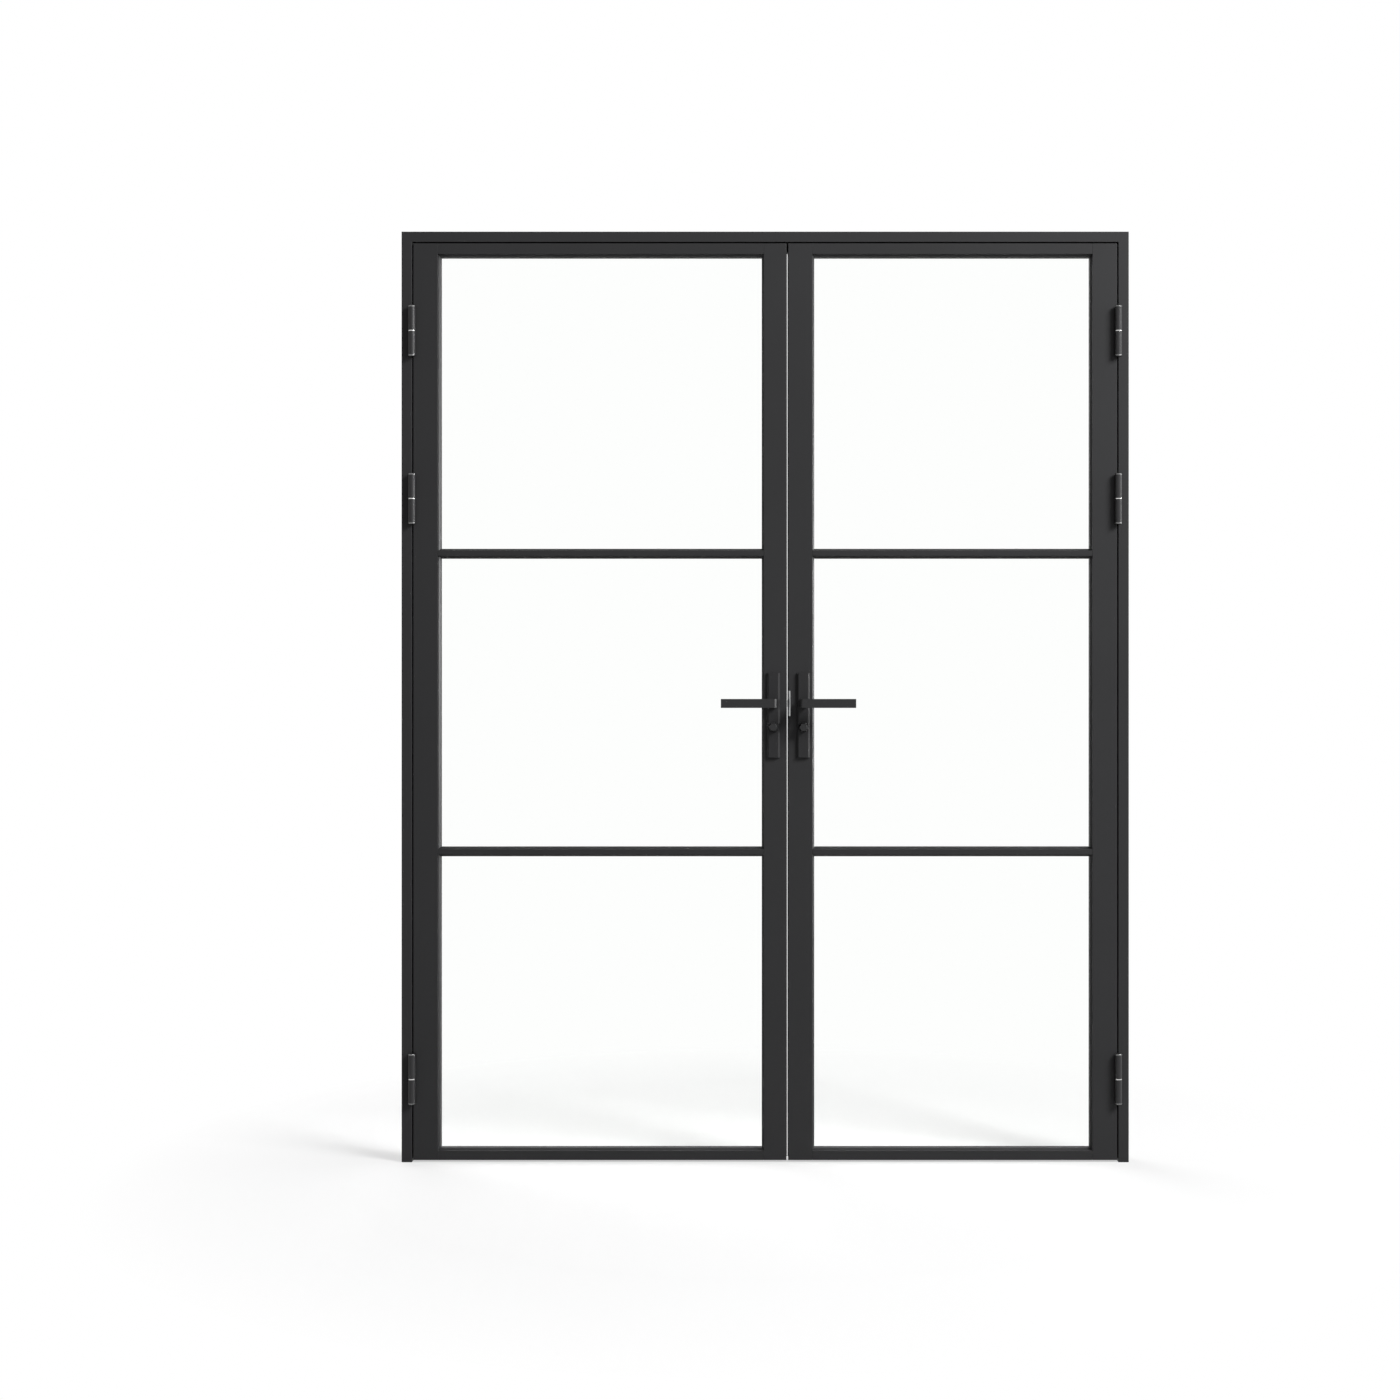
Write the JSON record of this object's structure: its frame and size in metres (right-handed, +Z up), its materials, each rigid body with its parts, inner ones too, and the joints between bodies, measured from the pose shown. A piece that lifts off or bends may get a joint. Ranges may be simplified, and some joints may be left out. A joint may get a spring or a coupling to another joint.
{
  "type": "glazed double interior door with frame",
  "caption": "Slim anthracite steel-look double door in its frame, with unequal clear-glazed leaves, horizontal bars, barrel hinges, flat levers on long plates and small turns.",
  "frame": {"origin": "on the floor under the middle of the frame, in the middle plane of the leaves", "axes": "+Z up, +X to the right seen from the hinge side, which faces -Y"},
  "size_m": [1.68, 0.152, 2.15],
  "materials": {
    "anthracite_coating": "matt powder coating on hollow steel profiles",
    "black_furniture": "matt black lacquer",
    "bright_steel": "bright zinc or satin steel",
    "black_rubber": "matt",
    "clear_glass": "clear polished safety glass"
  },
  "bodies": {
    "frame": {"left_jamb": "anthracite_coating", "right_jamb": "anthracite_coating", "frame_head": "anthracite_coating", "frame_seal": "black_rubber", "hinge_washers": "bright_steel", "left_upper_hinge_jamb_half": "anthracite_coating", "left_middle_hinge_jamb_half": "anthracite_coating", "left_lower_hinge_jamb_half": "anthracite_coating", "right_upper_hinge_jamb_half": "anthracite_coating", "right_middle_hinge_jamb_half": "anthracite_coating", "right_lower_hinge_jamb_half": "anthracite_coating"},
    "left_leaf": {"left_upper_hinge_leaf_half": "anthracite_coating", "left_middle_hinge_leaf_half": "anthracite_coating", "left_lower_hinge_leaf_half": "anthracite_coating", "left_hinge_stile": "anthracite_coating", "left_meeting_stile": "anthracite_coating", "left_top_rail": "anthracite_coating", "left_bottom_rail": "anthracite_coating", "left_upper_bar": "anthracite_coating", "left_lower_bar": "anthracite_coating", "left_top_pane": "clear_glass", "left_middle_pane": "clear_glass", "left_bottom_pane": "clear_glass", "left_glazing_beads": "anthracite_coating", "left_glazing_gaskets": "black_rubber", "left_front_plate": "black_furniture", "left_back_plate": "black_furniture", "left_lock_case": "bright_steel"},
    "right_leaf": {"right_upper_hinge_leaf_half": "anthracite_coating", "right_middle_hinge_leaf_half": "anthracite_coating", "right_lower_hinge_leaf_half": "anthracite_coating", "right_hinge_stile": "anthracite_coating", "right_meeting_stile": "anthracite_coating", "right_top_rail": "anthracite_coating", "right_bottom_rail": "anthracite_coating", "right_upper_bar": "anthracite_coating", "right_lower_bar": "anthracite_coating", "right_top_pane": "clear_glass", "right_middle_pane": "clear_glass", "right_bottom_pane": "clear_glass", "right_glazing_beads": "anthracite_coating", "right_glazing_gaskets": "black_rubber", "right_front_plate": "black_furniture", "right_back_plate": "black_furniture", "right_bolt_case": "bright_steel", "strike_plate": "bright_steel"},
    "left_lever": {"left_front_lever": "black_furniture", "left_back_lever": "black_furniture", "left_spindle": "bright_steel"},
    "left_latch": {"left_latch_bolt": "bright_steel"},
    "left_turn": {"left_turn_knob": "black_furniture", "left_turn_release": "black_furniture"},
    "left_deadbolt": {"left_deadbolt": "bright_steel"},
    "right_lever": {"right_front_lever": "black_furniture", "right_back_lever": "black_furniture", "right_spindle": "bright_steel"},
    "right_turn": {"right_turn_knob": "black_furniture", "right_turn_release": "black_furniture"},
    "right_top_bolt": {"right_top_bolt": "bright_steel"},
    "right_bottom_bolt": {"right_bottom_bolt": "bright_steel"}
  },
  "joints": [
    {"name": "left_leaf_swing", "type": "hinge", "parent": "frame", "child": "left_leaf", "pos_m": [-0.8145, -0.029, 1.06], "axis": [0, 0, -1], "range_deg": [0, 170]},
    {"name": "right_leaf_swing", "type": "hinge", "parent": "frame", "child": "right_leaf", "pos_m": [0.8145, -0.029, 1.06], "axis": [0, 0, 1], "range_deg": [0, 170]},
    {"name": "left_lever_turn", "type": "hinge", "parent": "left_leaf", "child": "left_lever", "pos_m": [0.019, 0, 1.06], "axis": [0, -1, 0], "range_deg": [0, 45], "stiffness_Nm_per_rad": 1.5, "springref_deg": -40.11},
    {"name": "left_latch_slide", "type": "slide", "parent": "left_leaf", "child": "left_latch", "axis": [-1, 0, 0], "range_m": [0, 0.0025]},
    {"name": "left_knob_turn", "type": "hinge", "parent": "left_leaf", "child": "left_turn", "pos_m": [0.019, 0, 1.005], "axis": [0, -1, 0], "range_deg": [0, 90]},
    {"name": "left_deadbolt_slide", "type": "slide", "parent": "left_leaf", "child": "left_deadbolt", "axis": [1, 0, 0], "range_m": [0, 0.014]},
    {"name": "right_lever_lift", "type": "hinge", "parent": "right_leaf", "child": "right_lever", "pos_m": [0.088, 0, 1.06], "axis": [0, -1, 0], "range_deg": [0, 45]},
    {"name": "right_top_bolt_slide", "type": "slide", "parent": "right_leaf", "child": "right_top_bolt", "axis": [0, 0, 1], "range_m": [0, 0.015]},
    {"name": "right_bottom_bolt_slide", "type": "slide", "parent": "right_leaf", "child": "right_bottom_bolt", "axis": [0, 0, -1], "range_m": [0, 0.015]},
    {"name": "right_knob_turn", "type": "hinge", "parent": "right_leaf", "child": "right_turn", "pos_m": [0.088, 0, 1.005], "axis": [0, 1, 0], "range_deg": [0, 90]}
  ],
  "couplings": [
    {"joint": "left_latch_slide", "follows": "left_lever_turn", "m_per_rad": 0.00318},
    {"joint": "left_knob_turn", "follows": "left_deadbolt_slide", "rad_per_m": 108},
    {"joint": "right_top_bolt_slide", "follows": "right_lever_lift", "m_per_rad": 0.019},
    {"joint": "right_bottom_bolt_slide", "follows": "right_lever_lift", "m_per_rad": 0.019}
  ]
}
